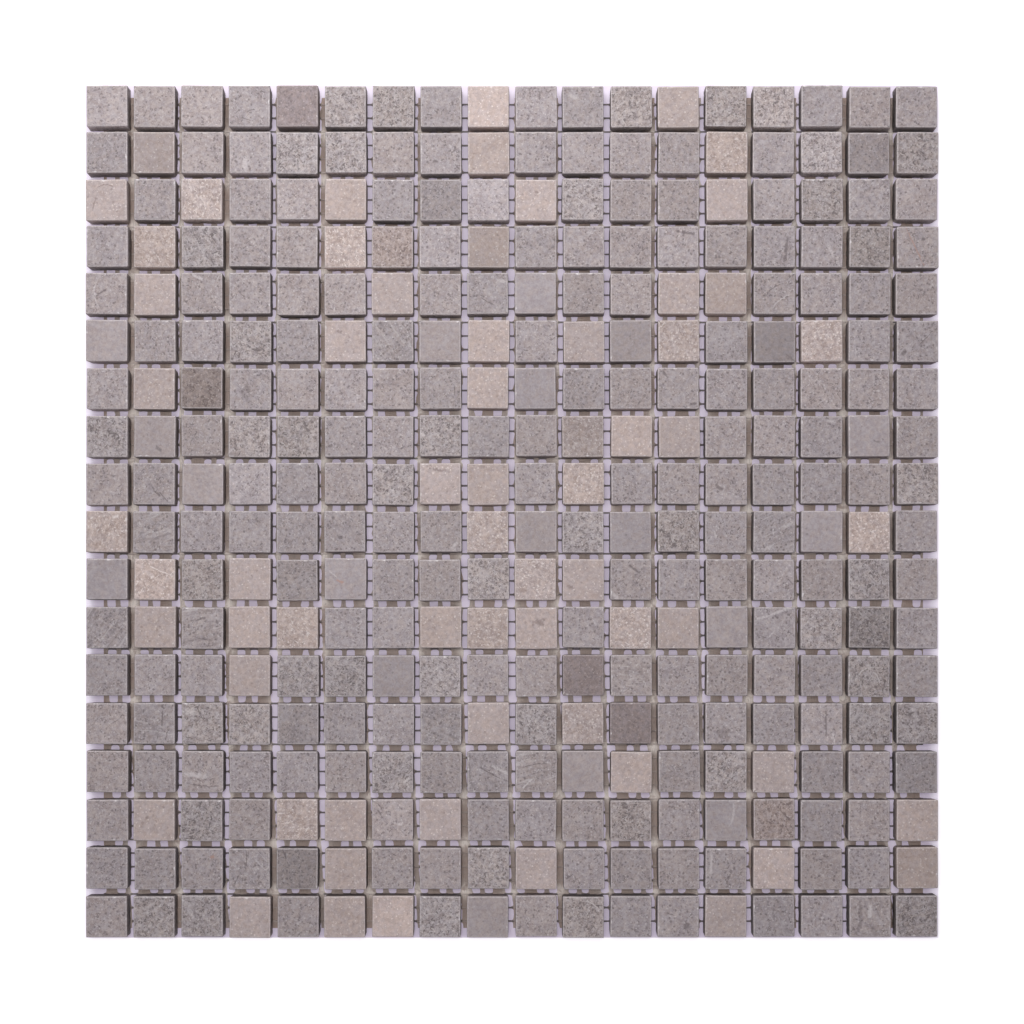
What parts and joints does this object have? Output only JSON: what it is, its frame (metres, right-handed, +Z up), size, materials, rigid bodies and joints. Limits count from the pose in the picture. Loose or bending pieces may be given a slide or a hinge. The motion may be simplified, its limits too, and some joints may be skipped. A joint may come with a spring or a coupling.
{
  "type": "mosaic tile sheet",
  "caption": "Square sheet of small honed limestone chips, set a joint apart and glued to an open glass-fibre net, laid as one tile on floors and walls.",
  "frame": {"origin": "middle of the net's underside, on the floor the sheet lies on", "axes": "+X along a course of chips, +Y from the bottom course to the top one, +Z up out of the honed faces"},
  "size_m": [0.3046, 0.3045, 0.0084],
  "materials": {
    "limestone": "honed, matt",
    "glued_net": "glass-fibre yarns soaked with set glue, matt"
  },
  "bodies": {
    "root": {"chip_row_01": "limestone", "chip_row_02": "limestone", "chip_row_03": "limestone", "chip_row_04": "limestone", "chip_row_05": "limestone", "chip_row_06": "limestone", "chip_row_07": "limestone", "chip_row_08": "limestone", "chip_row_09": "limestone", "chip_row_10": "limestone", "chip_row_11": "limestone", "chip_row_12": "limestone", "chip_row_13": "limestone", "chip_row_14": "limestone", "chip_row_15": "limestone", "chip_row_16": "limestone", "chip_row_17": "limestone", "chip_row_18": "limestone", "net_band_01": "glued_net", "net_band_02": "glued_net", "net_band_03": "glued_net", "net_band_04": "glued_net", "net_band_05": "glued_net", "net_band_06": "glued_net", "net_band_07": "glued_net", "net_band_08": "glued_net", "net_band_09": "glued_net"}
  },
  "joints": []
}
